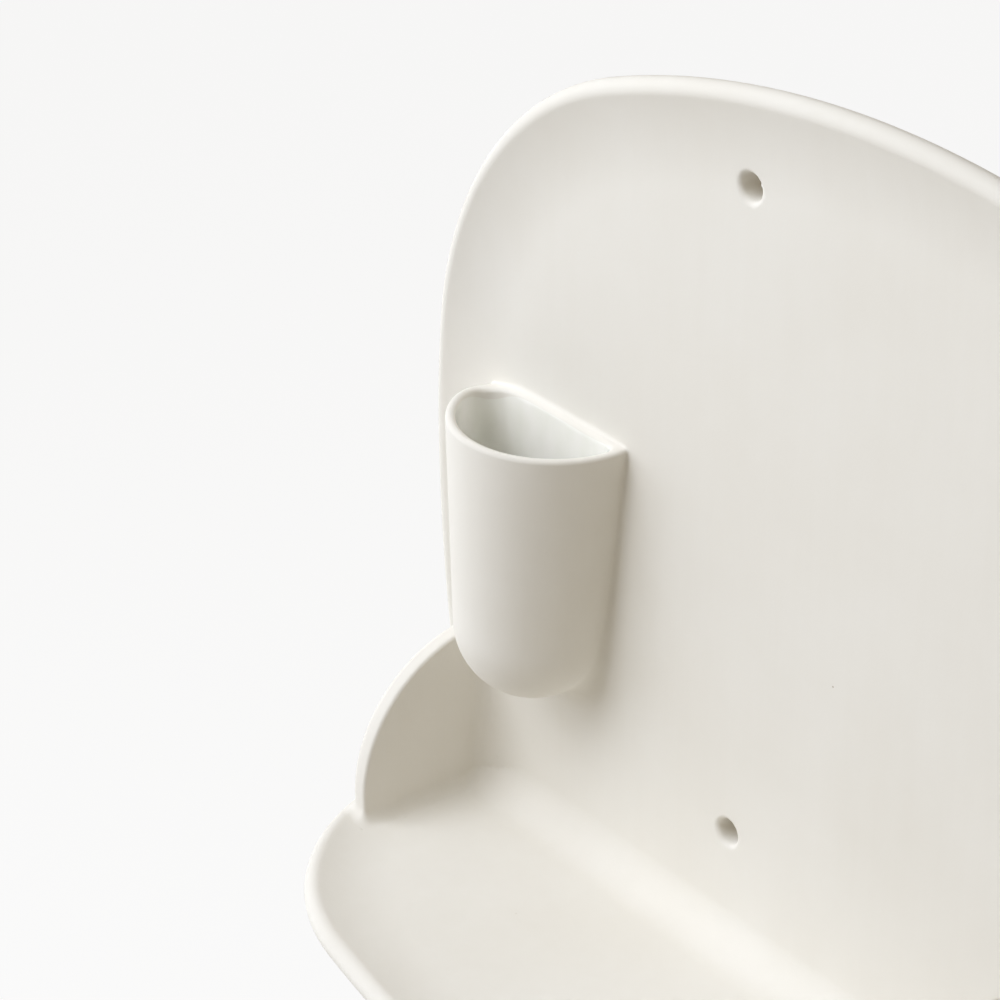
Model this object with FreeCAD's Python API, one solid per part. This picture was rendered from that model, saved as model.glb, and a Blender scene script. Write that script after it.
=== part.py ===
"""Hanging wall vase of matt fired clay: a dished back panel with a rolled rim, a shelf with a
cove, two quarter-round cheeks, and a D-shaped vase pocket with a glazed inside.

Millimetres. X runs to the right, Y into the wall and Z up. The origin is on the wall plane,
in the middle of the four screw holes."""
import FreeCAD, Part
import math
import os

V = FreeCAD.Vector
X_AXIS = V(1, 0, 0)
Z_AXIS = V(0, 0, 1)

# Clay slabs
panel_thickness = 6.5
shelf_thickness = 6.5
cheek_thickness = 6.0
overrun = 5.0

# Back panel outline, as seen from the front
panel_width = 341.0
panel_crown_height = 120.0
panel_crown_radius = 296.0
panel_corner_radius = 104.0
panel_side_radius = 288.0
panel_side_turn = 6.0
panel_low_radius = 470.0
panel_dish_band = 27.0
panel_dish_radius = 75.0
panel_foot_height = -130.0

# Screw holes through the back panel
hole_spacing_x = 100.0
hole_spacing_z = 180.0
hole_radius = 3.6
hole_lip = 1.2

# Shelf outline, as seen from above
shelf_inset = 4.0
shelf_depth = 102.0
shelf_front_radius = 578.0
shelf_corner_radius = 69.5
shelf_side_radius = 150.0
shelf_side_turn = 4.0
shelf_back_radius = 120.0
shelf_dish_band = 22.0
shelf_dish_radius = 60.0

# Cove coil in the corner of panel and shelf
cove_radius = 11.0
cove_bed = 0.8

# Cheeks at the ends of the shelf
cheek_inset = 9.0
cheek_height = 50.5
cheek_reach = 43.0
cheek_corner_radius = 42.0
cheek_edge_flat = 0.1

# Vase pocket
vase_from_side = 49.9
vase_centre_gap = 2.0
vase_rim_height = 4.0
vase_rim_radius = 28.3
vase_height = 81.0
vase_bottom_radius = 21.5
vase_tilt = 6.0
vase_wall = 2.7
vase_back_wall = 2.2
vase_corner_radius = 3.5
vase_lip_radius = 1.2

# Glaze inside the vase
glaze_thickness = 0.4
glaze_rim_gap = 1.5

shelf_top = panel_foot_height + shelf_thickness
shelf_width = panel_width - 2 * shelf_inset
vase_centre_x = vase_from_side - panel_width / 2


def polar(centre, radius, angle):
    """Point on a circle in the XY plane, at an angle in radians."""
    return centre + V(radius * math.cos(angle), radius * math.sin(angle), 0)


def outline_arcs(
        half_width, crown, crown_radius, corner_radius, side_radius, side_turn, low_radius, band, low):
    """Arcs of an outline from its low right end, over the crown, to its low left end.

    Each arc is a centre, a radius and two turning angles, and runs smoothly into the next."""
    turn = math.radians(side_turn)
    top = V(0, crown - crown_radius, 0)
    corner_x = side_radius - half_width - (side_radius - corner_radius) * math.cos(turn)
    corner_y = top.y + math.sqrt((crown_radius - corner_radius) ** 2 - corner_x ** 2)
    corner = V(corner_x, corner_y, 0)
    widest = corner_y - (side_radius - corner_radius) * math.sin(turn)
    side = V(side_radius - half_width, widest, 0)
    lower = V(low_radius - half_width, widest, 0)
    top_turn = math.atan2(corner.y - top.y, corner.x - top.x)
    low_turn = math.asin((widest - low + overrun) / (low_radius - band))
    left = [
        (corner, corner_radius, top_turn, math.pi - turn),
        (side, side_radius, math.pi - turn, math.pi),
        (lower, low_radius, math.pi, math.pi + low_turn),
    ]
    right = [
        (V(-centre.x, centre.y, 0), radius, math.pi - end, math.pi - start)
        for centre, radius, start, end in reversed(left)
    ]
    return right + [(top, crown_radius, math.pi - top_turn, top_turn)] + left


def rim_turn(thickness, band, dish_radius):
    """Angle through which the slab has turned up where the rolled rim begins."""
    return math.asin((band - thickness / 2) / (dish_radius + thickness / 2))


def rim_centre_height(thickness, band, dish_radius):
    """Height of the rolled rim's centre over the slab's back."""
    turn = rim_turn(thickness, band, dish_radius)
    return thickness / 2 + (dish_radius + thickness / 2) * (1 - math.cos(turn))


def band_profile(outline_radius, thickness, band, dish_radius):
    """Section of the turned-up band and its rolled rim, in the XZ plane, rim outwards along +X."""
    turn = rim_turn(thickness, band, dish_radius)
    pivot = V(outline_radius - band, 0, thickness + dish_radius)

    def at(radius, angle):
        return pivot + V(radius * math.sin(angle), 0, -radius * math.cos(angle))

    back_radius = dish_radius + thickness
    middle_radius = dish_radius + thickness / 2
    rim_centre = at(middle_radius, turn)
    outward = V(math.cos(turn), 0, math.sin(turn))
    rim_tip = rim_centre + outward * (thickness / 2)
    edges = [
        Part.Arc(at(back_radius, 0), at(back_radius, turn / 2), at(back_radius, turn)).toShape(),
        Part.Arc(at(back_radius, turn), rim_tip, at(dish_radius, turn)).toShape(),
        Part.Arc(at(dish_radius, turn), at(dish_radius, turn / 2), at(dish_radius, 0)).toShape(),
        Part.LineSegment(at(dish_radius, 0), at(back_radius, 0)).toShape(),
    ]
    return Part.Face(Part.Wire(edges))


def dished_slab(arcs, low, thickness, band, dish_radius):
    """Flat slab with a turned-up band and a rolled rim, its back at Z = 0, cut off below Y = low."""
    bands = []
    core_edges = []
    for centre, radius, start, end in arcs:
        profile = band_profile(radius, thickness, band, dish_radius)
        profile.translate(centre)
        profile.rotate(centre, Z_AXIS, math.degrees(start))
        bands.append(profile.revolve(centre, Z_AXIS, math.degrees(end - start)))
        inner = radius - band
        middle = (start + end) / 2
        arc = Part.Arc(polar(centre, inner, start), polar(centre, inner, middle), polar(centre, inner, end))
        core_edges.append(arc.toShape())
    first = core_edges[0].Vertexes[0].Point
    last = core_edges[-1].Vertexes[-1].Point
    core_edges.append(Part.LineSegment(last, first).toShape())
    core = Part.Face(Part.Wire(core_edges)).extrude(Z_AXIS * thickness)
    slab = core.multiFuse(bands).removeSplitter()
    box = slab.BoundBox
    keep = Part.makeBox(
        box.XLength + 2 * overrun, box.YMax - low + overrun, box.ZLength + 2 * overrun,
        V(box.XMin - overrun, low, box.ZMin - overrun))
    return biggest(slab.common(keep))


def biggest(shape):
    """The largest solid of a shape, which drops the offcuts of a cut."""
    return max(shape.Solids, key=lambda solid: solid.Volume)


def block(low, high):
    """Box between two corners."""
    size = high - low
    return Part.makeBox(size.x, size.y, size.z, low)


def screw_hole():
    """Hole cutter along +Z with a softly rounded lip in front, from the slab's back at Z = 0."""
    wide = hole_radius + hole_lip
    start = panel_thickness - hole_lip
    root = math.sqrt(0.5)
    points = [
        V(0, 0, -overrun), V(hole_radius, 0, -overrun), V(hole_radius, 0, start),
        V(wide, 0, panel_thickness), V(wide, 0, panel_thickness + overrun),
        V(0, 0, panel_thickness + overrun),
    ]
    edges = [Part.LineSegment(points[index], points[index + 1]).toShape() for index in (0, 1, 3, 4)]
    edges.append(Part.LineSegment(points[-1], points[0]).toShape())
    middle = V(wide - hole_lip * root, 0, start + hole_lip * root)
    edges.append(Part.Arc(points[2], middle, points[3]).toShape())
    outline = Part.Wire(Part.sortEdges(edges)[0])
    return Part.Face(outline).revolve(V(0, 0, 0), Z_AXIS, 360)


def cove_block():
    """Room for the cove coil: the corner of panel and shelf between the cheeks, with its beds."""
    reach = shelf_width / 2 - cheek_inset - cheek_thickness
    low = V(-reach, -panel_thickness - cove_radius, shelf_top - cove_bed)
    high = V(reach, -panel_thickness + cove_bed, shelf_top + cove_radius)
    return block(low, high)


def back_panel():
    """Dished slab that stands flat on the wall, with four screw holes."""
    arcs = outline_arcs(
        panel_width / 2, panel_crown_height, panel_crown_radius, panel_corner_radius,
        panel_side_radius, panel_side_turn, panel_low_radius, panel_dish_band, panel_foot_height)
    slab = dished_slab(arcs, panel_foot_height, panel_thickness, panel_dish_band, panel_dish_radius)
    for side in (-1, 1):
        for level in (-1, 1):
            cutter = screw_hole()
            cutter.translate(V(side * hole_spacing_x / 2, level * hole_spacing_z / 2, 0))
            slab = slab.cut(cutter)
    slab.rotate(V(0, 0, 0), X_AXIS, 90)
    return slab


def shelf(panel):
    """Slab that stands out from the panel's foot, its rim turned up."""
    arcs = outline_arcs(
        shelf_width / 2, shelf_depth, shelf_front_radius, shelf_corner_radius,
        shelf_side_radius, shelf_side_turn, shelf_back_radius, shelf_dish_band, panel_thickness)
    slab = dished_slab(arcs, panel_thickness, shelf_thickness, shelf_dish_band, shelf_dish_radius)
    slab.rotate(V(0, 0, 0), Z_AXIS, 180)
    slab.translate(V(0, 0, panel_foot_height))
    return biggest(slab.cut(panel))


def cove_coil():
    """Coil of clay smoothed to a cove in the corner, let a little into both slabs."""
    room = cove_block()
    box = room.BoundBox
    centre = V(box.XMin - overrun, box.YMin, box.ZMax)
    hollow = Part.makeCylinder(cove_radius, box.XLength + 2 * overrun, centre, X_AXIS)
    return biggest(room.cut(hollow))


def cheek(side, panel, shelf_slab, coil):
    """Quarter-round slab on the shelf's end, its free edge rolled; side is -1 at the left."""
    outer = shelf_width / 2 - cheek_inset
    inner = outer - cheek_thickness
    back = -rim_centre_height(panel_thickness, panel_dish_band, panel_dish_radius)
    low = panel_foot_height + rim_centre_height(shelf_thickness, shelf_dish_band, shelf_dish_radius)
    front = -panel_thickness - cheek_reach
    top = shelf_top + cheek_height
    turn_y = front + cheek_corner_radius
    turn_z = top - cheek_corner_radius
    reach = cheek_corner_radius * math.sqrt(0.5)
    start = min(side * inner, side * outer)
    a = V(start, back, low)
    b = V(start, back, top)
    c = V(start, turn_y, top)
    d = V(start, turn_y - reach, turn_z + reach)
    e = V(start, front, turn_z)
    f = V(start, front, low)
    edges = [
        Part.LineSegment(a, b).toShape(), Part.LineSegment(b, c).toShape(), Part.Arc(c, d, e).toShape(),
        Part.LineSegment(e, f).toShape(), Part.LineSegment(f, a).toShape(),
    ]
    slab = Part.Face(Part.Wire(edges)).extrude(X_AXIS * cheek_thickness)
    free = [edge for edge in slab.Edges if is_free_edge(edge, back, low)]
    slab = slab.makeFillet(cheek_thickness / 2 - cheek_edge_flat, free)
    return biggest(slab.cut(panel.fuse(shelf_slab).fuse(coil)))


def is_free_edge(edge, back, low):
    """True for a cheek's edges that run round its free outline, on either face."""
    box = edge.BoundBox
    middle = edge.CenterOfMass
    flat = box.XLength < edge.Length / 2
    return flat and middle.y < back - cheek_edge_flat and middle.z > low + cheek_edge_flat


def vase_tube(inset, back_distance, top):
    """Tapering tube with a round bottom, drawn in by an inset, sliced flat at its back and top.

    It tilts so that its front stands upright and only its sides draw in towards the bottom."""
    rise = vase_height - vase_bottom_radius
    slant = math.acos(vase_bottom_radius / math.hypot(vase_rim_radius, rise))
    taper = slant - math.atan2(rise, vase_rim_radius)
    ball = vase_bottom_radius - inset
    above = 2 * overrun
    mouth = V(vase_rim_radius - inset / math.cos(taper) + above * math.tan(taper), 0, above)
    foot = V(ball * math.cos(taper), 0, -rise - ball * math.sin(taper))
    half = (math.pi / 2 + taper) / 2
    knee = V(ball * math.sin(half), 0, -rise - ball * math.cos(half))
    bottom = V(0, 0, -rise - ball)
    edges = [
        Part.LineSegment(V(0, 0, above), mouth).toShape(),
        Part.LineSegment(mouth, foot).toShape(),
        Part.Arc(foot, knee, bottom).toShape(),
        Part.LineSegment(bottom, V(0, 0, above)).toShape(),
    ]
    solid = Part.Face(Part.Wire(edges)).revolve(V(0, 0, 0), Z_AXIS, 360)
    solid.rotate(V(0, 0, 0), X_AXIS, -vase_tilt)
    solid.translate(V(vase_centre_x, -panel_thickness - vase_centre_gap, vase_rim_height))
    box = solid.BoundBox
    low = V(box.XMin - overrun, box.YMin - overrun, box.ZMin - overrun)
    high = V(box.XMax + overrun, -back_distance, top)
    return biggest(solid.common(block(low, high)))


def vase_cavity(inset, back_distance, corner, top):
    """The D-shaped hollow, its flat back a distance from the wall and its corners rounded."""
    hollow = vase_tube(inset, back_distance, top)
    back_edges = [
        edge for edge in hollow.Edges
        if edge.BoundBox.YMin > -back_distance - corner / 10 and edge.CenterOfMass.z < top - corner / 10
    ]
    return hollow.makeFillet(corner, back_edges)


def vase_pocket(panel):
    """The vase's clay: thin wall, flat back wall on the panel, rim rounded."""
    outer = vase_tube(0, panel_thickness, vase_rim_height)
    back_distance = panel_thickness + vase_back_wall
    hollow = vase_cavity(vase_wall, back_distance, vase_corner_radius, vase_rim_height + overrun)
    clay = outer.cut(hollow)
    rim = [edge for edge in clay.Edges if is_rim_edge(edge, back_distance)]
    return biggest(clay.makeFillet(vase_lip_radius, rim).cut(panel))


def is_rim_edge(edge, back_distance):
    """True for the edges of the vase's top face, but not for the one that lies on the panel."""
    box = edge.BoundBox
    return box.ZMin > vase_rim_height - vase_lip_radius / 2 and box.YMin < -back_distance + vase_lip_radius


def vase_glaze():
    """Glaze coat on the hollow's wall, from just under the rim down."""
    top = vase_rim_height - glaze_rim_gap
    back_distance = panel_thickness + vase_back_wall
    coat = vase_cavity(vase_wall, back_distance, vase_corner_radius, top)
    inside = vase_cavity(
        vase_wall + glaze_thickness, back_distance + glaze_thickness,
        vase_corner_radius - glaze_thickness, top + overrun)
    return biggest(coat.cut(inside))


def build():
    """Every piece by its name."""
    panel = back_panel()
    shelf_slab = shelf(panel)
    room = cove_block()
    panel = biggest(panel.cut(room))
    shelf_slab = biggest(shelf_slab.cut(room))
    coil = cove_coil()
    return {
        "back_panel": panel,
        "shelf": shelf_slab,
        "cove_coil": coil,
        "left_cheek": cheek(-1, panel, shelf_slab, coil),
        "right_cheek": cheek(1, panel, shelf_slab, coil),
        "vase_pocket": vase_pocket(panel),
        "vase_glaze": vase_glaze(),
    }


os.makedirs("parts", exist_ok=True)
for name, piece in build().items():
    piece.exportStep("parts/" + name + ".step")
    print(name, "valid", piece.isValid(), "volume", round(piece.Volume), "faces", len(piece.Faces))
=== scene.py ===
import math
import bpy
import numpy as np
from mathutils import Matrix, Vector


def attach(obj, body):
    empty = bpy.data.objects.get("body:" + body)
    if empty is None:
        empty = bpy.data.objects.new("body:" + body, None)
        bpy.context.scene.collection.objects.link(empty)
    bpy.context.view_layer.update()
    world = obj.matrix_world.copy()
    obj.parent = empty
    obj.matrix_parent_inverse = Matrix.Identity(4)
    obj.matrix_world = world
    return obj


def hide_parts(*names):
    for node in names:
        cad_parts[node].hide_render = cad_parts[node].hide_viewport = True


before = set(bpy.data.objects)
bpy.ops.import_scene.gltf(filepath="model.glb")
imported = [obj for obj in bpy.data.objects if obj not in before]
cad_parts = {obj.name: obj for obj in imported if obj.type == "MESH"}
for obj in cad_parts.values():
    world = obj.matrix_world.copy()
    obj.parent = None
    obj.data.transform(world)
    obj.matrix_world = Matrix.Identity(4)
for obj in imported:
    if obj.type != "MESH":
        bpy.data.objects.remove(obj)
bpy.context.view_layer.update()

# Back panel: one rolled slab of white stoneware clay, laid over a shallow form so that its border
# turns forward, its edge rolled round with a wet sponge, and four screw holes pushed through it.
# It hangs flat against the wall. All sizes are in millimetres until a mesh is made.
panel_thickness = 6.5
panel_half_width = 170.5
panel_crown = 119.95
panel_crown_radius = 296.0
panel_corner_radius = 104.0
panel_side_radius = 288.0
panel_side_turn = 6.0
panel_low_radius = 470.0
panel_band = 27.0
panel_dish_radius = 75.0
panel_foot = -130.0
heel_radius = 2.5
hole_x = 50.0
hole_z = 90.0
hole_radius = 3.6
hole_lip = 1.4
hole_lip_back = -1.5
hole_lip_run = 2.0
far_inside = 1000.0


def half_outline(half_width, crown, crown_radius, corner_radius, side_radius, side_turn, low_radius):
    """Arcs of the left half of an outline: centre, radius, and the angles where each one starts and
    ends."""
    turn = math.radians(side_turn)
    top = crown - crown_radius
    corner_x = side_radius - half_width - (side_radius - corner_radius) * math.cos(turn)
    corner_y = top + math.sqrt((crown_radius - corner_radius) ** 2 - corner_x ** 2)
    widest = corner_y - (side_radius - corner_radius) * math.sin(turn)
    top_turn = math.atan2(corner_y - top, corner_x)
    return [
        (0.0, top, crown_radius, math.pi / 2, top_turn),
        (corner_x, corner_y, corner_radius, top_turn, math.pi - turn),
        (side_radius - half_width, widest, side_radius, math.pi - turn, math.pi),
        (low_radius - half_width, widest, low_radius, math.pi, 1.5 * math.pi),
    ]


def inset(x, v, arcs):
    """How far a point lies inside an outline that is the same left and right."""
    u = -np.abs(x)
    nearest = np.full(u.shape, far_inside)
    for centre_u, centre_v, radius, start, end in arcs:
        angle = np.mod(np.arctan2(v - centre_v, u - centre_u), 2 * math.pi)
        within = (angle >= start - 1e-6) & (angle <= end + 1e-6)
        depth = radius - np.hypot(u - centre_u, v - centre_v)
        nearest = np.where(within, np.minimum(nearest, depth), nearest)
    return nearest


def rolled_slab(depth, height, thickness, band, dish_radius):
    """Distance to a slab whose border, a band wide, turns up to a rolled edge."""
    middle = dish_radius + thickness / 2
    turn = math.asin((band - thickness / 2) / middle)
    pivot = thickness + dish_radius
    out = band - depth
    angle = np.arctan2(out, pivot - height)
    flat = np.abs(height - thickness / 2)
    bent = np.abs(np.hypot(out, pivot - height) - middle)
    rim = np.hypot(depth - thickness / 2, height - pivot + middle * math.cos(turn))
    return np.where(out <= 0, flat, np.where(angle <= turn, bent, rim)) - thickness / 2


def joined(a, b, radius):
    """Two forms luted together, with a smoothed fillet between them."""
    reach = np.hypot(np.maximum(radius - a, 0), np.maximum(radius - b, 0))
    return np.maximum(radius, np.minimum(a, b)) - reach


def trimmed(a, b, radius):
    """What two forms share, with the edge between them softened."""
    reach = np.hypot(np.maximum(radius + a, 0), np.maximum(radius + b, 0))
    return np.minimum(-radius, np.maximum(a, b)) + reach


panel_arcs = half_outline(
    panel_half_width, panel_crown, panel_crown_radius, panel_corner_radius,
    panel_side_radius, panel_side_turn, panel_low_radius)


def panel_form(x, y, z):
    depth = inset(x, z, panel_arcs)
    slab = rolled_slab(depth, -y, panel_thickness, panel_band, panel_dish_radius)
    return np.maximum(slab, panel_foot - z)


def screw_hole_form(x, z):
    return np.hypot(np.abs(x) - hole_x, np.abs(z) - hole_z) - hole_radius


# Shelf: a second slab of the same clay, luted to the panel's foot, its free edge turned up and
# rolled like the panel's, so that nothing slides off it.
shelf_thickness = 6.5
shelf_half_width = 166.5
shelf_depth = 101.99
shelf_front_radius = 578.0
shelf_corner_radius = 69.5
shelf_side_radius = 150.0
shelf_side_turn = 4.0
shelf_back_radius = 120.0
shelf_band = 22.0
shelf_dish_radius = 60.0
shelf_seam = 5.0
shelf_top = panel_foot + shelf_thickness
shelf_arcs = half_outline(
    shelf_half_width, shelf_depth, shelf_front_radius, shelf_corner_radius,
    shelf_side_radius, shelf_side_turn, shelf_back_radius)


def shelf_form(x, y, z):
    depth = inset(x, -y, shelf_arcs)
    slab = rolled_slab(depth, z - panel_foot, shelf_thickness, shelf_band, shelf_dish_radius)
    return np.maximum(slab, y + panel_thickness)


# Cove: a coil of soft clay pressed into the corner of panel and shelf and drawn out with a
# rounded rib, so that water and dust have no corner to sit in.
cove_radius = 11.0
cheek_middle = 154.5
cheek_thickness = 6.0
bed = 1.6


def cove_form(x, y, z):
    ahead = -panel_thickness - y
    above = z - shelf_top
    reach = np.hypot(np.maximum(cove_radius - ahead, 0), np.maximum(cove_radius - above, 0))
    hollow = cove_radius - reach
    sides = np.maximum(np.maximum(ahead, above) - cove_radius, -np.minimum(ahead, above) - bed)
    return np.maximum(np.maximum(hollow, sides), np.abs(x) - cheek_middle)


# Cheeks: quarter-round gussets of slab clay that stand on the ends of the shelf against the
# panel, their free edge rolled and their feet smoothed in with a wet finger.
cheek_top = shelf_top + 50.5
cheek_front = -49.5
cheek_corner = 42.0
cheek_arris = 1.0
cheek_round = 2.6
cheek_fillet = 3.4
buried = 5.0


def cheek_form(x, y, z):
    over_y = cheek_front + cheek_corner - y
    over_z = z - cheek_top + cheek_corner
    corner = np.hypot(np.maximum(over_y, 0), np.maximum(over_z, 0))
    edge = corner + np.minimum(np.maximum(over_y, over_z), 0) - cheek_corner
    inner = trimmed(edge, cheek_middle - cheek_thickness / 2 - np.abs(x), cheek_arris)
    outer = trimmed(edge, np.abs(x) - cheek_middle - cheek_thickness / 2, cheek_round)
    slab = np.maximum(inner, outer)
    return np.maximum(slab, np.maximum(y + buried, panel_foot + buried - z))


# Vase pocket: a tapering tube of thin clay with a round bottom, thrown or rolled, sliced down its
# length, closed with a flat back wall and luted to the panel. Its rim is cut level, softened, and
# pressed down a little where its left end meets the panel.
vase_x = -120.6
vase_y = -8.5
vase_rim = 4.0
vase_rim_radius = 28.3
vase_height = 81.0
vase_bottom_radius = 21.5
vase_tilt = math.radians(6.0)
vase_wall = 2.7
vase_back = 2.2
vase_corners = (8.0, 3.5)
vase_corner_turns = (-12.0, 12.0)
vase_dip = 2.4
vase_dip_width = 9.0
vase_lip = 1.2
vase_fillet_heights = (-76.0, -66.0, -45.0, -10.0, 4.0)
vase_fillet_radii = (8.0, 5.0, 2.0, 1.0, 0.5)
ledge_fillet = 0.9
ledge_ends = (16.0, 28.0)
ledge_heights = (1.0, 4.0)
vase_open = 8.0
vase_rise = vase_height - vase_bottom_radius
vase_lean = math.atan2(vase_rise, vase_rim_radius)
vase_taper = math.acos(vase_bottom_radius / math.hypot(vase_rim_radius, vase_rise)) - vase_lean


def tube_form(x, y, z):
    """Distance to the tilted tube with its round bottom, open without end above."""
    away = y - vase_y
    up = z - vase_rim
    across = away * math.cos(vase_tilt) - up * math.sin(vase_tilt)
    along = away * math.sin(vase_tilt) + up * math.cos(vase_tilt) + vase_rise
    radial = np.hypot(x - vase_x, across)
    side = radial * math.cos(vase_taper) - along * math.sin(vase_taper) - vase_bottom_radius
    ball = np.hypot(radial, along) - vase_bottom_radius
    on_side = along * math.cos(vase_taper) + radial * math.sin(vase_taper) > 0
    return np.where(on_side, side, ball)


def vase_form(x, y, z):
    """The vase without its hollow; its rim dips where the left end was pressed onto the panel."""
    from_end = np.hypot(x - vase_x + vase_rim_radius, y + panel_thickness)
    rim = vase_rim - vase_dip * np.exp(-(from_end / vase_dip_width) ** 2)
    outer = trimmed(tube_form(x, y, z), z - rim, vase_lip)
    return np.maximum(outer, y + buried)


def vase_hollow(x, y, z):
    corner = np.interp(x - vase_x, vase_corner_turns, vase_corners)
    hollow = trimmed(tube_form(x, y, z) + vase_wall, y + panel_thickness + vase_back, corner)
    return np.maximum(hollow, z - vase_rim - vase_open)


def vase_fillet_at(x, z):
    """Radius of the smoothed joint of vase and panel: crisp beside the rim, wider at its foot and
    along the ledge behind its mouth."""
    along = np.interp(np.abs(x - vase_x), ledge_ends, (1.0, 0.0))
    high = np.interp(z, ledge_heights, (0.0, 1.0))
    return np.interp(z, vase_fillet_heights, vase_fillet_radii) + along * high * ledge_fillet


# Fired body: the slabs, coil, cheeks and vase dry and fire to one piece of bisque, so their skins
# run into one another. Each piece below is cut from that one body and keeps its own closed mesh.

# Fillets fade away behind the front of the panel and below the top of the shelf, which stay plain.
fillet_fades = (-5.5, -3.5)
fillet_fades_below = 2.0
faint = 0.02
skirt = 0.3
back_kept = 4.0
farthest = 0.7
piece_names = ["back_panel", "shelf", "cove_coil", "left_cheek", "right_cheek", "vase_pocket"]


def clay_body(x, y, z):
    slabs = joined(panel_form(x, y, z), shelf_form(x, y, z), shelf_seam)
    body = np.minimum(slabs, cove_form(x, y, z))
    ahead = np.interp(y, fillet_fades, (1.0, faint))
    above = np.interp(z, (shelf_top - fillet_fades_below, shelf_top), (faint, 1.0))
    body = joined(body, cheek_form(x, y, z), cheek_fillet * np.minimum(ahead, above))
    body = joined(body, vase_form(x, y, z), vase_fillet_at(x, z) * ahead)
    body = trimmed(body, -vase_hollow(x, y, z), vase_lip)
    lip = hole_lip * np.clip((hole_lip_back - y) / hole_lip_run, faint, 1)
    body = trimmed(body, -screw_hole_form(x, z), lip)
    return np.maximum(body, trimmed(y, panel_foot - z, heel_radius))


def piece_bounds(x, y, z):
    """How far outside each piece a point of the body lies, for the pieces luted on last to first."""
    panel = panel_form(x, y, z)
    slabs = np.minimum(panel, shelf_form(x, y, z))
    cove = cove_form(x, y, z)
    cheek = cheek_form(x, y, z) - cheek_fillet - skirt
    cheek = np.maximum(cheek, -np.minimum(slabs, cove) - bed)
    cheek = np.maximum(cheek, np.maximum(y + back_kept, panel_foot + back_kept - z))
    vase = np.maximum(vase_form(x, y, z) - vase_fillet_at(x, z) - skirt, -panel - bed)
    vase = np.maximum(vase, y + back_kept)
    return [
        (5, vase),
        (3, np.maximum(cheek, x)),
        (4, np.maximum(cheek, -x)),
        (2, np.maximum(cove - skirt, -slabs - bed)),
        (0, panel),
    ]


def piece_labels(x, y, z):
    """Number of the piece that each point of the body belongs to, from 1."""
    label = np.full(x.shape, 2, dtype=np.int8)
    for number, bound in reversed(piece_bounds(x, y, z)):
        label[bound < 0] = number + 1
    return label


def grid_lines(stretches):
    """Grid places along one axis, from stretches of (start, end, spacing)."""
    lines = []
    for start, end, spacing in stretches:
        lines.append(np.linspace(start, end, int(round((end - start) / spacing)), endpoint=False))
    return np.concatenate(lines + [[stretches[-1][1]]])


cell = 0.9
rim_cell = 0.5
grid = (
    grid_lines([(-172.6, 172.6, cell)]),
    grid_lines([(-104.2, 2.3, cell)]),
    grid_lines([(-132.3, -1.4, cell), (-1.4, 6.0, rim_cell), (6.0, 122.3, cell)]),
)
coarse = 4


def sample_body():
    """Body distance and piece number on the grid, worked out only in the clay and close to it."""
    shape = tuple(len(axis) for axis in grid)
    rough = np.meshgrid(*[axis[::coarse] for axis in grid], indexing="ij")
    spread = clay_body(*rough)
    distance = np.repeat(np.repeat(np.repeat(spread, coarse, 0), coarse, 1), coarse, 2)
    distance = distance[:shape[0], :shape[1], :shape[2]]
    reach = cell * coarse * math.sqrt(3) + 1.0
    near = np.nonzero(distance < reach)
    points = [axis[index] for axis, index in zip(grid, near)]
    distance[near] = clay_body(*points)
    label = np.zeros(shape, dtype=np.int8)
    inside = np.nonzero(distance < 0)
    label[inside] = piece_labels(*[axis[index] for axis, index in zip(grid, inside)])
    return distance, label


corners = [(0, 0, 0), (1, 0, 0), (1, 1, 0), (0, 1, 0), (0, 0, 1), (1, 0, 1), (1, 1, 1), (0, 1, 1)]
ways = [(1, -1, -1), (-1, -1, 1), (-1, 1, -1), (1, 1, 1)]
smooth_step = 0.08
least_share = 0.05


def slope_at(form, points, step=0.05):
    """Value and gradient of a form at points, from four samples round each."""
    value = 0.0
    gradient = np.zeros_like(points)
    for way in ways:
        sample = form(*(points + step * np.array(way)).T)
        value = value + sample / 4
        gradient += sample[:, None] * np.array(way) / (4 * step)
    return value, gradient


def pressed_onto(form, points, rounds=2, most=0.6):
    """Points moved along the gradient until they lie on a form's skin."""
    for _ in range(rounds):
        value, gradient = slope_at(form, points)
        move = gradient * (value / np.maximum((gradient ** 2).sum(1), 1e-3))[:, None]
        length = np.linalg.norm(move, axis=1, keepdims=True)
        points = points - move * np.minimum(1, most / np.maximum(length, 1e-9))
    return points


def skin_normals(form, points):
    """Unit normals of a form's skin, taken over a step wide enough to be smooth."""
    gradient = slope_at(form, points, smooth_step)[1]
    return gradient / np.maximum(np.linalg.norm(gradient, axis=1, keepdims=True), 1e-6)


def bound_of(number):
    """The form whose skin parts a piece from those it was luted onto."""
    return lambda x, y, z: dict(piece_bounds(x, y, z))[number]


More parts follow.
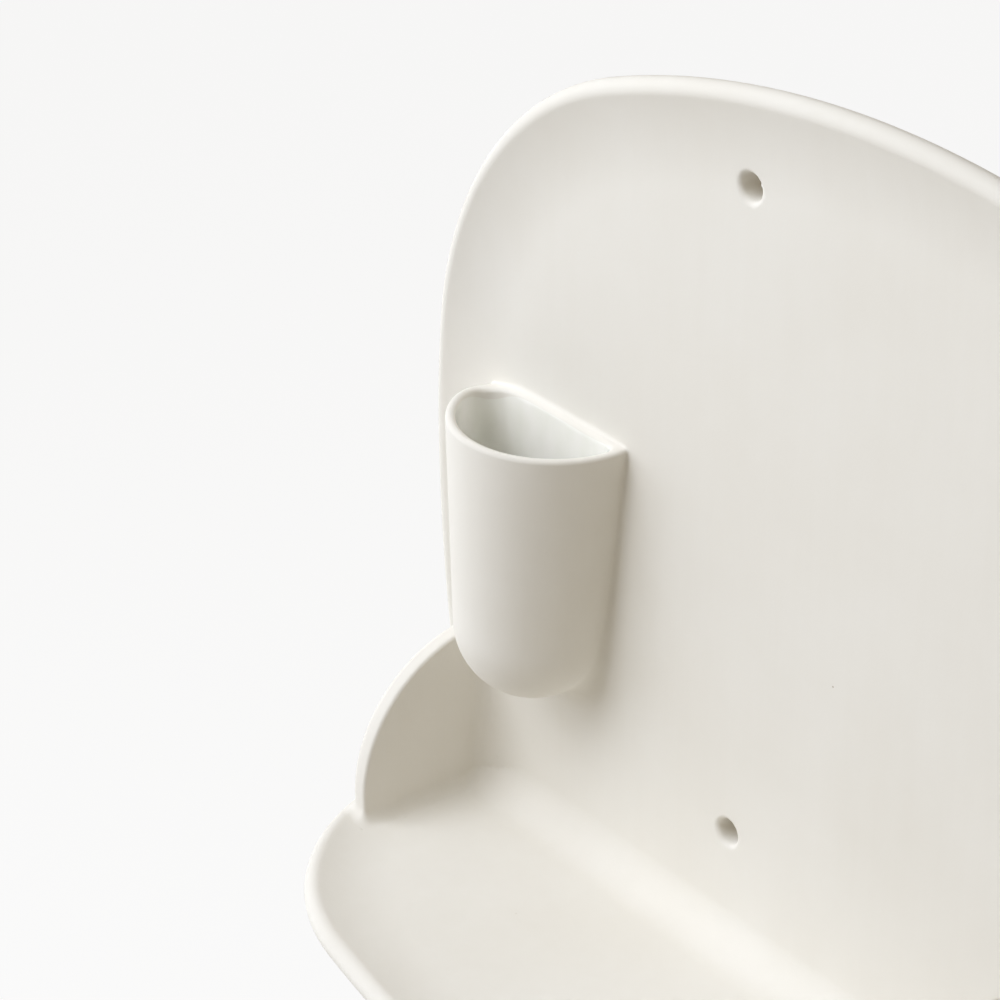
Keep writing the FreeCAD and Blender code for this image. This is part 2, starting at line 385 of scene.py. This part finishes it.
def net_cells(grid, distance, label):
    """One point in each grid cell whose corners differ: its place, and which pieces meet there."""
    shape = tuple(len(axis) - 1 for axis in grid)
    first = label[:-1, :-1, :-1]
    mixed = np.zeros(shape, dtype=bool)
    for a, b, c in corners[1:]:
        mixed |= label[a:a + shape[0], b:b + shape[1], c:c + shape[2]] != first
    cells = np.stack(np.nonzero(mixed), axis=1)
    number = np.full(shape, -1, dtype=np.int32)
    number[tuple(cells.T)] = np.arange(len(cells))
    total = np.zeros((len(cells), 3))
    count = np.zeros(len(cells))
    met = np.zeros((len(cells), len(piece_names) + 1), dtype=bool)
    at = [cells + np.array(corner) for corner in corners]
    labels = [label[tuple(index.T)] for index in at]
    values = [distance[tuple(index.T)] for index in at]
    places = []
    for index in at:
        places.append(np.stack([axis[index[:, n]] for n, axis in enumerate(grid)], axis=1))
    for corner in range(len(corners)):
        met[np.arange(len(cells)), labels[corner]] = True
    for a in range(len(corners)):
        for b in range(a + 1, len(corners)):
            if np.abs(np.array(corners[a]) - np.array(corners[b])).sum() != 1:
                continue
            differ = labels[a] != labels[b]
            skin = (labels[a] == 0) | (labels[b] == 0)
            gap = values[a] - values[b]
            share = np.where(skin, values[a] / np.where(np.abs(gap) < 1e-9, 1, gap), 0.5)
            share = np.clip(share, least_share, 1 - least_share)[:, None]
            total += np.where(differ[:, None], places[a] * (1 - share) + places[b] * share, 0)
            count += differ
    return number, total / count[:, None], met


def net_faces(label, number, piece):
    """Quads round one piece, facing out of it, and whether each is on the body's skin."""
    quads = []
    on_skin = []
    for axis in range(3):
        low = [slice(1, -1)] * 3
        high = [slice(1, -1)] * 3
        low[axis] = slice(0, -1)
        high[axis] = slice(1, None)
        below = label[tuple(low)]
        above = label[tuple(high)]
        edge = np.stack(np.nonzero((below == piece) != (above == piece)), axis=1)
        here = below[tuple(edge.T)]
        there = above[tuple(edge.T)]
        base = edge + 1
        base[:, axis] -= 1
        second = np.eye(3, dtype=int)[(axis + 1) % 3]
        third = np.eye(3, dtype=int)[(axis + 2) % 3]
        ring = [base - second - third, base - third, base, base - second]
        quad = np.stack([number[tuple(place.T)] for place in ring], axis=1)
        quad = np.where((here == piece)[:, None], quad, quad[:, ::-1])
        quads.append(quad)
        on_skin.append((here == 0) | (there == 0))
    return np.concatenate(quads), np.concatenate(on_skin)


def mesh_from(name, points, faces, skin):
    """Mesh in metres. Faces inside the body get the second material place, which tells them apart."""
    used, faces = np.unique(faces, return_inverse=True)
    faces = faces.reshape(-1, 4)
    mesh = bpy.data.meshes.new(name)
    mesh.vertices.add(len(used))
    mesh.vertices.foreach_set("co", (points[used] / 1000).ravel())
    mesh.loops.add(faces.size)
    mesh.loops.foreach_set("vertex_index", faces.ravel().astype(np.int32))
    mesh.polygons.add(len(faces))
    mesh.polygons.foreach_set("loop_start", np.arange(0, faces.size, 4, dtype=np.int32))
    mesh.polygons.foreach_set("material_index", np.where(skin, 0, 1).astype(np.int32))
    mesh.update(calc_edges=True)
    return mesh, used


def values_of(items, name, kind=np.float64, width=1):
    """One property of all the vertices, corners or faces of a mesh."""
    values = np.empty(len(items) * width, dtype=kind)
    items.foreach_get(name, values)
    return values.reshape(-1, width) if width > 1 else values


def sponged(mesh, form):
    """Puts a piece's skin exactly on the body and gives it the body's own smooth normals."""
    points = values_of(mesh.vertices, "co", width=3) * 1000
    loops = values_of(mesh.loops, "vertex_index", np.int32)
    sizes = values_of(mesh.polygons, "loop_total", np.int32)
    loop_inner = np.repeat(values_of(mesh.polygons, "material_index", np.int32), sizes) == 1
    skin = np.zeros(len(points), dtype=bool)
    skin[loops[~loop_inner]] = True
    points[skin] = pressed_onto(form, points[skin])
    mesh.vertices.foreach_set("co", (points / 1000).ravel())
    mesh.polygons.foreach_set("material_index", np.zeros(len(sizes), dtype=np.int32))
    mesh.polygons.foreach_set("use_smooth", np.ones(len(sizes), dtype=bool))
    mesh.update()
    smooth = np.zeros(points.shape)
    smooth[skin] = skin_normals(form, points[skin])
    flat = np.repeat(values_of(mesh.polygons, "normal", width=3), sizes, axis=0)
    mesh.normals_split_custom_set(np.where(loop_inner[:, None], flat, smooth[loops]))


def thinned(piece, keep_faces, protected):
    """Fewer triangles where the skin is nearly flat, its seams, rims and lips left as they are."""
    group = piece.vertex_groups.new(name="plain")
    group.add(np.nonzero(~protected)[0].tolist(), 1.0, "REPLACE")
    modifier = piece.modifiers.new("thinned", "DECIMATE")
    modifier.ratio = keep_faces / (2 * len(piece.data.polygons))
    modifier.vertex_group = "plain"
    modifier.use_collapse_triangulate = True
    evaluated = piece.evaluated_get(bpy.context.evaluated_depsgraph_get())
    mesh = bpy.data.meshes.new_from_object(evaluated)
    mesh.name = piece.name
    piece.modifiers.remove(modifier)
    piece.vertex_groups.clear()
    piece.data = mesh


luting_order = (0, 2, 4, 3, 5)
turned_share = 0.3
distance, label = sample_body()
number, points, met = net_cells(grid, distance, label)
on_skin = met[:, 0]
several = met[:, 1:].sum(axis=1) > 1
points[on_skin] = pressed_onto(clay_body, points[on_skin])
loose = points.copy()
luted_last = np.full(len(points), -1)
for order in luting_order:
    luted_last[several & met[:, order + 1]] = order
for order in luting_order:
    seam = luted_last == order
    before = points[seam]
    after = pressed_onto(bound_of(order), before)
    for _ in range(3):
        after = np.where(on_skin[seam][:, None], pressed_onto(clay_body, after, 1), after)
        after = pressed_onto(bound_of(order), after, 1)
    after = np.where(on_skin[seam][:, None], pressed_onto(clay_body, after, 1), after)
    moved = np.linalg.norm(after - before, axis=1, keepdims=True)
    points[seam] = np.where(moved < farthest, after, before)

# Where pressing a seam onto its line turned a face of the skin over, its corners go back.
for piece_number in list(range(1, len(piece_names) + 1)) * 2:
    faces, skin = net_faces(label, number, piece_number)
    faces = faces[skin]
    outward = slope_at(clay_body, points[faces].mean(axis=1))[1]
    for second, third in ((1, 2), (2, 3), (1, 3)):
        across = points[faces[:, second]] - points[faces[:, 0]]
        along = points[faces[:, third]] - points[faces[:, 0]]
        facing = np.cross(across, along)
        turned = (facing * outward).sum(axis=1) < turned_share * np.linalg.norm(facing, axis=1)
        points[faces[turned]] = loose[faces[turned]]


def srgb(code):
    """Linear colour of an sRGB hex value."""
    colour = []
    for n in (1, 3, 5):
        part = int(code[n:n + 2], 16) / 255
        colour.append(part / 12.92 if part <= 0.04045 else ((part + 0.055) / 1.055) ** 2.4)
    return colour + [1.0]


def add(tree, kind, settings=None, links=None):
    """Adds a node to a tree, with its settings and the links into its sockets."""
    node = tree.nodes.new(kind)
    for name, value in (settings or {}).items():
        if isinstance(name, str) and hasattr(node, name):
            setattr(node, name, value)
        else:
            node.inputs[name].default_value = value
    for name, source in (links or {}).items():
        tree.links.new(source, node.inputs[name])
    return node


def empty_material(name):
    """A new material with nothing in its node tree."""
    material = bpy.data.materials.new(name)
    material.use_nodes = True
    material.node_tree.nodes.clear()
    return material


def per_mm(size):
    """Texture scale at which a pattern's cells are a size in millimetres."""
    return 1000 / size


clay_colour = srgb("#EDEAE3")
clay_shade = srgb("#E7E3DA")
speck_colour = srgb("#BDB3A2")


def sponged_bisque():
    """White stoneware, wiped with a wet sponge, bisque fired and left bare.

    Clouds and faint upright sponge strokes give the eye an even, dry, slightly chalky white, and a
    few iron specks and pinholes show that it is clay and not plastic. The real tooth, of 0.1 mm, is
    too fine to show, so it is drawn at 0.9 mm."""
    material = empty_material("sponged_white_stoneware_bisque")
    tree = material.node_tree
    place = add(tree, "ShaderNodeTexCoord").outputs["Object"]
    clouds = add(tree, "ShaderNodeTexNoise", {
        "Scale": per_mm(55), "Detail": 3.0, "Roughness": 0.55}, {"Vector": place})
    upright = add(tree, "ShaderNodeMapping", {"Scale": (1.0, 1.0, 0.07)}, {"Vector": place})
    strokes = add(tree, "ShaderNodeTexNoise", {"Scale": per_mm(4.5), "Detail": 3.0}, {
        "Vector": upright.outputs[0]})
    both = add(tree, "ShaderNodeMath", {"operation": "MULTIPLY_ADD", 1: 0.2}, {
        0: strokes.outputs["Fac"], 2: clouds.outputs["Fac"]})
    shade = add(tree, "ShaderNodeMapRange", {"From Min": 0.3, "From Max": 0.95}, {
        "Value": both.outputs[0]})
    colour = add(tree, "ShaderNodeMix", {"data_type": "RGBA", 6: clay_shade, 7: clay_colour}, {
        0: shade.outputs[0]})
    cells = add(tree, "ShaderNodeTexVoronoi", {"Scale": per_mm(13), "Randomness": 1.0}, {"Vector": place})
    chosen = add(tree, "ShaderNodeSeparateColor", {}, {0: cells.outputs["Color"]})
    size = add(tree, "ShaderNodeMapRange", {
        "From Min": 0.72, "From Max": 1.0, "To Min": 0.0, "To Max": 0.024}, {"Value": chosen.outputs[0]})
    speck = add(tree, "ShaderNodeMath", {"operation": "LESS_THAN"}, {
        0: cells.outputs["Distance"], 1: size.outputs[0]})
    speckled = add(tree, "ShaderNodeMix", {"data_type": "RGBA", 7: speck_colour}, {
        0: speck.outputs[0], 6: colour.outputs[2]})
    tooth = add(tree, "ShaderNodeTexNoise", {
        "Scale": per_mm(0.9), "Detail": 2.0, "Roughness": 0.6}, {"Vector": place})
    relief = add(tree, "ShaderNodeMath", {"operation": "MULTIPLY_ADD", 1: 0.6}, {
        0: strokes.outputs["Fac"], 2: tooth.outputs["Fac"]})
    pitted = add(tree, "ShaderNodeMath", {"operation": "SUBTRACT"}, {
        0: relief.outputs[0], 1: speck.outputs[0]})
    skin = add(tree, "ShaderNodeBump", {"Strength": 0.5, "Distance": 0.00005}, {
        "Height": pitted.outputs[0]})
    rough = add(tree, "ShaderNodeMapRange", {"To Min": 0.78, "To Max": 0.9}, {
        "Value": clouds.outputs["Fac"]})
    shader = add(tree, "ShaderNodeBsdfPrincipled", {"IOR": 1.5, "Specular IOR Level": 0.25}, {
        "Base Color": speckled.outputs[2], "Roughness": rough.outputs[0], "Normal": skin.outputs[0]})
    add(tree, "ShaderNodeOutputMaterial", {}, {"Surface": shader.outputs[0]})
    return material


clay = sponged_bisque()
most_faces = 190000
kept_rim = 8.0
kept_hole = 3.0
kept_front = 2.0
kept_foot = 6.0


def plain_places(points):
    """Points of the panel well away from its rim, holes, vase and foot, where a coarser net will do."""
    x, y, z = points.T
    plain = (inset(x, z, panel_arcs) > kept_rim) & (screw_hole_form(x, z) > kept_hole)
    return plain & (y > -panel_thickness - kept_front) & (z > shelf_top + kept_foot)


for name in piece_names:
    faces, skin = net_faces(label, number, piece_names.index(name) + 1)
    mesh, used = mesh_from(name + "_clay", points, faces, skin)
    piece = bpy.data.objects.new(name + "_clay", mesh)
    bpy.context.scene.collection.objects.link(piece)
    if 2 * len(faces) > most_faces:
        thinned(piece, most_faces, several[used] | ~plain_places(points[used]))
    sponged(piece.data, clay_body)
    piece.data.materials.clear()
    piece.data.materials.append(clay)
    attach(piece, "root")
    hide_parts(name)

# Glaze: a white glossy glaze poured round the inside of the vase and tipped out again, so that it
# is a thin even coat. It stops in a wavering line a little below the bare lip.
glaze_thickness = 0.4
glaze_bead = 1.2
glaze_line = 3.2
glaze_waver = (0.12, 0.08)
glaze_miss = 3.5
glaze_missed_at = (-23.0, -3.0)
glaze_missed_width = 6.0
glaze_cell = 0.7
glaze_grid = (
    grid_lines([(-150.0, -91.0, glaze_cell)]),
    grid_lines([(-42.0, -7.0, glaze_cell)]),
    grid_lines([(-78.0, 6.0, glaze_cell)]),
)


def glaze_edge(x, y):
    """Height where the glaze ends: it wavers, and dips where the pour missed the far left wall."""
    waver = glaze_waver[0] * np.sin(x / 4 + 1.0) + glaze_waver[1] * np.sin(y / 2 + x / 3)
    from_missed = (x - vase_x - glaze_missed_at[0]) ** 2 + (y - vase_y - glaze_missed_at[1]) ** 2
    return glaze_line + waver - glaze_miss * np.exp(-from_missed / glaze_missed_width ** 2)


def glaze_skin():
    """Mesh of the hollow's wall below the glaze line, facing the hollow, with how full the coat is."""
    x, y, z = np.meshgrid(*glaze_grid, indexing="ij")
    open_room = np.maximum(-clay_body(x, y, z), vase_hollow(x, y, z) - vase_lip)
    region = np.where(open_room < 0, np.where(z < glaze_edge(x, y), 1, 2), 0).astype(np.int8)
    number, points, met = net_cells(glaze_grid, open_room, region)
    edge = met[:, 2]
    points = pressed_onto(clay_body, points)
    for _ in range(4):
        points[edge, 2] = glaze_edge(points[edge, 0], points[edge, 1])
        points[edge] = pressed_onto(clay_body, points[edge], 1)
    faces, on_wall = net_faces(region, number, 1)
    faces = faces[on_wall][:, ::-1]
    mesh, used = mesh_from("glaze_skin", points, faces, np.ones(len(faces), dtype=bool))
    below = glaze_edge(points[used, 0], points[used, 1]) - points[used, 2]
    full = np.where(edge[used], 0.0, np.sqrt(np.clip(below / glaze_bead, faint, 1)))
    mesh.attributes.new("full", "FLOAT", "POINT").data.foreach_set("value", full)
    return mesh


def poured_coat():
    """Geometry Nodes tree that builds a closed coat of a given thickness on a surface."""
    tree = bpy.data.node_groups.new("poured_coat", "GeometryNodeTree")
    tree.interface.new_socket("Geometry", in_out="INPUT", socket_type="NodeSocketGeometry")
    tree.interface.new_socket("Thickness", in_out="INPUT", socket_type="NodeSocketFloat")
    tree.interface.new_socket("Glaze", in_out="INPUT", socket_type="NodeSocketMaterial")
    tree.interface.new_socket("Geometry", in_out="OUTPUT", socket_type="NodeSocketGeometry")
    given = add(tree, "NodeGroupInput")
    full = add(tree, "GeometryNodeInputNamedAttribute", {"data_type": "FLOAT", "Name": "full"})
    depth = add(tree, "ShaderNodeMath", {"operation": "MULTIPLY"}, {
        0: full.outputs["Attribute"], 1: given.outputs["Thickness"]})
    lift = add(tree, "ShaderNodeVectorMath", {"operation": "SCALE"}, {
        0: add(tree, "GeometryNodeInputNormal").outputs["Normal"], "Scale": depth.outputs[0]})
    face = add(tree, "GeometryNodeSetPosition", {}, {
        "Geometry": given.outputs["Geometry"], "Offset": lift.outputs[0]})
    back = add(tree, "GeometryNodeFlipFaces", {}, {"Mesh": given.outputs["Geometry"]})
    both = add(tree, "GeometryNodeJoinGeometry", {}, {"Geometry": face.outputs["Geometry"]})
    tree.links.new(back.outputs["Mesh"], both.inputs["Geometry"])
    closed = add(tree, "GeometryNodeMergeByDistance", {"Distance": 1e-6}, {
        "Geometry": both.outputs["Geometry"]})
    smooth = add(tree, "GeometryNodeSetShadeSmooth", {}, {"Geometry": closed.outputs["Geometry"]})
    real = add(tree, "GeometryNodeRealizeInstances", {}, {"Geometry": smooth.outputs["Geometry"]})
    dressed = add(tree, "GeometryNodeSetMaterial", {}, {
        "Geometry": real.outputs["Geometry"], "Material": given.outputs["Glaze"]})
    add(tree, "NodeGroupOutput", {}, {"Geometry": dressed.outputs["Geometry"]})
    return tree


def flowed_out(mesh):
    """Gives the coat the smooth normals of the wall behind it, as glaze levels out when it melts."""
    smooth = skin_normals(clay_body, values_of(mesh.vertices, "co", width=3) * 1000)
    smooth = smooth[values_of(mesh.loops, "vertex_index", np.int32)]
    sizes = values_of(mesh.polygons, "loop_total", np.int32)
    flat = np.repeat(values_of(mesh.polygons, "normal", width=3), sizes, axis=0)
    mesh.normals_split_custom_set(smooth * np.sign((flat * smooth).sum(axis=1, keepdims=True)))


glaze_colour = srgb("#FBF9F4")
glaze_pool = srgb("#F3F3EA")


def white_glaze():
    """White tin glaze, poured and fired.

    It looks wet and smooth, a cleaner white than the bare clay, and goes faintly green in soft
    upright runs where it gathered."""
    material = empty_material("poured_white_glaze")
    tree = material.node_tree
    place = add(tree, "ShaderNodeTexCoord").outputs["Object"]
    runs = add(tree, "ShaderNodeMapping", {"Scale": (1.0, 1.0, 0.35)}, {"Vector": place})
    cloud = add(tree, "ShaderNodeTexNoise", {"Scale": per_mm(9), "Detail": 2.0}, {
        "Vector": runs.outputs[0]})
    part = add(tree, "ShaderNodeMapRange", {"From Min": 0.35, "From Max": 0.7}, {
        "Value": cloud.outputs["Fac"]})
    colour = add(tree, "ShaderNodeMix", {"data_type": "RGBA", 6: glaze_colour, 7: glaze_pool}, {
        0: part.outputs[0]})
    wave = add(tree, "ShaderNodeBump", {"Strength": 0.35, "Distance": 0.0003}, {
        "Height": cloud.outputs["Fac"]})
    shader = add(tree, "ShaderNodeBsdfPrincipled", {"IOR": 1.52, "Roughness": 0.2}, {
        "Base Color": colour.outputs[2], "Normal": wave.outputs[0]})
    add(tree, "ShaderNodeOutputMaterial", {}, {"Surface": shader.outputs[0]})
    return material


coat = bpy.data.objects.new("vase_glaze_coat", glaze_skin())
bpy.context.scene.collection.objects.link(coat)
pour = coat.modifiers.new("pour", "NODES")
pour.node_group = poured_coat()
items = pour.node_group.interface.items_tree
sockets = {item.name: item.identifier for item in items if item.in_out == "INPUT"}
pour[sockets["Thickness"]] = glaze_thickness / 1000
pour[sockets["Glaze"]] = white_glaze()
poured = bpy.data.meshes.new_from_object(coat.evaluated_get(bpy.context.evaluated_depsgraph_get()))
coat.modifiers.remove(pour)
flowed_out(poured)
coat.data = poured
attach(coat, "root")
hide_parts("vase_glaze")

# Camera: at the photograph's angle, to the right of the piece and above it.
lens_length = 124.45
camera_place = Vector((0.5063, -0.5105, 0.4052))
camera_aim = Vector((-0.1458, -0.0065, -0.0330))
camera_data = bpy.data.cameras.new("camera")
camera_data.lens = lens_length
camera_data.sensor_width = 36.0
camera_data.clip_start = 0.01
camera_data.clip_end = 50.0
camera = bpy.data.objects.new("camera", camera_data)
bpy.context.scene.collection.objects.link(camera)
camera.location = camera_place
camera.rotation_euler = (camera_aim - camera_place).to_track_quat("-Z", "Y").to_euler()
bpy.context.scene.camera = camera

# Floor: a plain sheet of matt white paper, far below the hanging piece.
floor_half = 9.0
floor_height = -1.2
floor_corners = []
for x, y in ((-1, -1), (1, -1), (1, 1), (-1, 1)):
    floor_corners.append((x * floor_half, y * floor_half, floor_height))
floor_mesh = bpy.data.meshes.new("floor")
floor_mesh.from_pydata(floor_corners, [], [(0, 1, 2, 3)])
floor = bpy.data.objects.new("floor", floor_mesh)
bpy.context.scene.collection.objects.link(floor)
backdrop_white = srgb("#F9F9F9")


def seen(tree):
    """Socket that is 1 for rays that show the backdrop and 0 for rays that only light the object."""
    rays = add(tree, "ShaderNodeLightPath").outputs
    either = add(tree, "ShaderNodeMath", {"operation": "MAXIMUM"}, {
        0: rays["Is Camera Ray"], 1: rays["Is Glossy Ray"]})
    return add(tree, "ShaderNodeMath", {"operation": "MAXIMUM"}, {
        0: either.outputs[0], 1: rays["Is Transmission Ray"]}).outputs[0]


def matt_paper():
    """Matt white paper roll: it shows as plain white and still takes the object's shadow."""
    material = empty_material("matt_white_paper")
    tree = material.node_tree
    share = add(tree, "ShaderNodeMath", {"operation": "MULTIPLY", 1: 0.9}, {0: seen(tree)})
    paper = add(tree, "ShaderNodeBsdfDiffuse", {"Color": backdrop_white})
    glow = add(tree, "ShaderNodeEmission", {"Color": srgb("#FFFFFF"), "Strength": 1.0})
    mixed = add(tree, "ShaderNodeMixShader", {}, {
        0: share.outputs[0], 1: paper.outputs[0], 2: glow.outputs[0]})
    add(tree, "ShaderNodeOutputMaterial", {}, {"Surface": mixed.outputs[0]})
    return material


floor_mesh.materials.append(matt_paper())

# Studio light: three very large soft boxes to the left, in front and above, a little cool like
# daylight, in a white room that sends back a warmer light. Each lamp's strength is the light that
# it would give a white card facing it.
room_light = 0.205
lamp_distance = 2.0
lamps = [
    ("soft_box_side", 70.0, 5.0, 2.2, 1.53),
    ("soft_box_front", 25.0, 30.0, 2.2, 1.80),
    ("soft_box_high", 20.0, 57.0, 1.6, 1.75),
]
daylight = srgb("#EFF5FF")
room_tint = srgb("#FFE8BC")
lit_place = Vector((-0.08, -0.03, -0.03))
for name, leftward, height, size, strength in lamps:
    turn, rise = math.radians(leftward), math.radians(height)
    level = Vector((-math.sin(turn), -math.cos(turn), 0.0))
    towards = level * math.cos(rise) + Vector((0.0, 0.0, math.sin(rise)))
    data = bpy.data.lights.new(name, "AREA")
    data.shape = "DISK"
    data.size = size
    data.color = daylight[:3]
    data.energy = strength * math.pi * lamp_distance ** 2
    lamp = bpy.data.objects.new(name, data)
    lamp.location = lit_place + towards * lamp_distance
    lamp.rotation_euler = towards.to_track_quat("Z", "Y").to_euler()
    bpy.context.scene.collection.objects.link(lamp)

world = bpy.data.worlds.new("white_room")
bpy.context.scene.world = world
world.use_nodes = True
tree = world.node_tree
tree.nodes.clear()
room = add(tree, "ShaderNodeBackground", {"Color": room_tint, "Strength": room_light})
white = add(tree, "ShaderNodeBackground", {"Color": backdrop_white, "Strength": 1.0})
mixed = add(tree, "ShaderNodeMixShader", {}, {
    0: seen(tree), 1: room.outputs[0], 2: white.outputs[0]})
add(tree, "ShaderNodeOutputWorld", {}, {"Surface": mixed.outputs[0]})

bpy.context.scene.view_settings.view_transform = "Standard"
